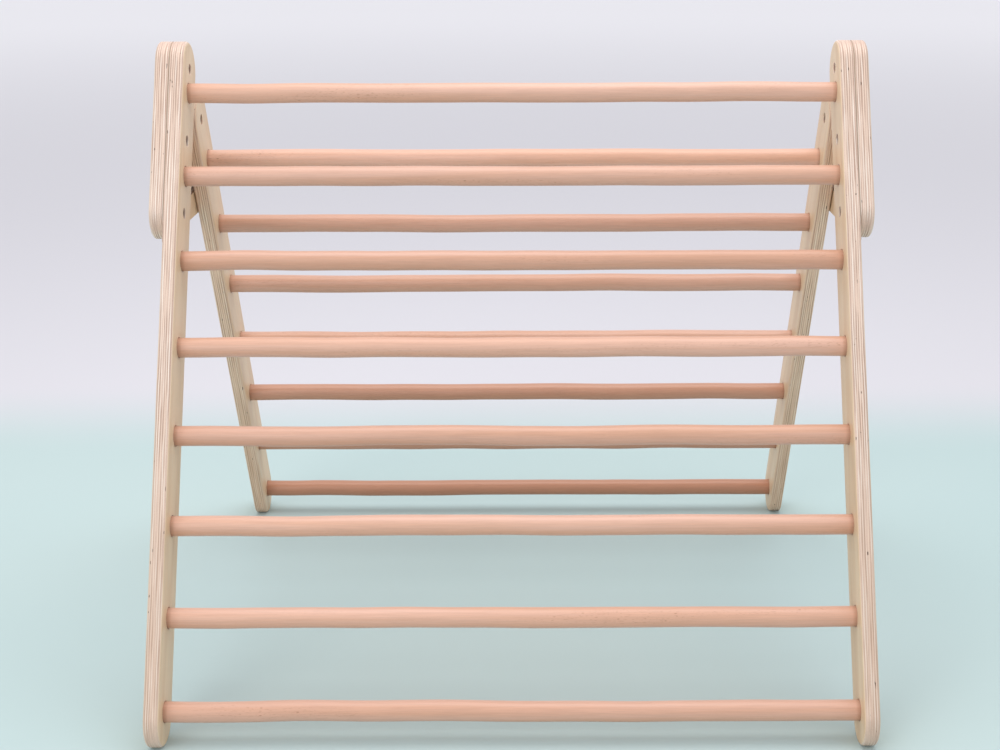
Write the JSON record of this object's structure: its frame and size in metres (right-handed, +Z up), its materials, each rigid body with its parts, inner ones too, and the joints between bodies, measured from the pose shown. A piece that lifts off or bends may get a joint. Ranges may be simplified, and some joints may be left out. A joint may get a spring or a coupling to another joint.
{
  "type": "folding climbing triangle",
  "caption": "Free-standing toddler climbing frame: two leaning ladders of round rungs in plywood rails, hinged near the top between side plates so that it folds flat.",
  "frame": {"origin": "on the floor, midway between the front and rear feet, on the plane of symmetry between the left and right sides", "axes": "+X along the rungs, towards the right side; +Y from the front ladder to the rear ladder; +Z up"},
  "size_m": [0.916, 0.7914, 0.7668],
  "materials": {
    "birch_plywood": "clear matt lacquer on birch plywood",
    "beech": "sanded, lightly oiled beech",
    "steel": "zinc-plated",
    "brass": "plain turned",
    "nylon": "natural nylon",
    "knob_plastic": "fine matt texture"
  },
  "bodies": {
    "front_ladder": {"front_rail_left": "birch_plywood", "side_plate_left": "birch_plywood", "front_rung_screws_left": "steel", "plate_screws_left": "steel", "pivot_screw_left": "steel", "plate_inserts_left": "brass", "pivot_washer_left": "nylon", "front_rail_right": "birch_plywood", "side_plate_right": "birch_plywood", "front_rung_screws_right": "steel", "plate_screws_right": "steel", "pivot_screw_right": "steel", "plate_inserts_right": "brass", "pivot_washer_right": "nylon", "front_rung_1": "beech", "front_rung_2": "beech", "front_rung_3": "beech", "front_rung_4": "beech", "front_rung_5": "beech", "front_rung_6": "beech", "front_rung_7": "beech", "front_rung_8": "beech"},
    "rear_ladder": {"rear_rail_left": "birch_plywood", "rear_rung_screws_left": "steel", "pivot_bush_left": "steel", "lock_bolt_left": "steel", "rear_rail_right": "birch_plywood", "rear_rung_screws_right": "steel", "pivot_bush_right": "steel", "lock_bolt_right": "steel", "rear_rung_1": "beech", "rear_rung_2": "beech", "rear_rung_3": "beech", "rear_rung_4": "beech", "rear_rung_5": "beech", "rear_rung_6": "beech", "rear_rung_7": "beech"},
    "left_knob": {"lock_knob_left": "knob_plastic", "knob_nut_left": "brass", "lock_washer_left": "steel"},
    "right_knob": {"lock_knob_right": "knob_plastic", "knob_nut_right": "brass", "lock_washer_right": "steel"}
  },
  "joints": [
    {"name": "fold", "type": "hinge", "parent": "front_ladder", "child": "rear_ladder", "pos_m": [0, 0.03928, 0.66541], "axis": [-1, 0, 0], "range_deg": [0, 54]},
    {"name": "left_knob_turn", "type": "hinge", "parent": "rear_ladder", "child": "left_knob", "pos_m": [-0.438, 0.0812, 0.58314], "axis": [-1, 0, 0], "range_deg": [0, 360]},
    {"name": "right_knob_turn", "type": "hinge", "parent": "rear_ladder", "child": "right_knob", "pos_m": [0.438, 0.0812, 0.58314], "axis": [1, 0, 0], "range_deg": [0, 360]}
  ]
}
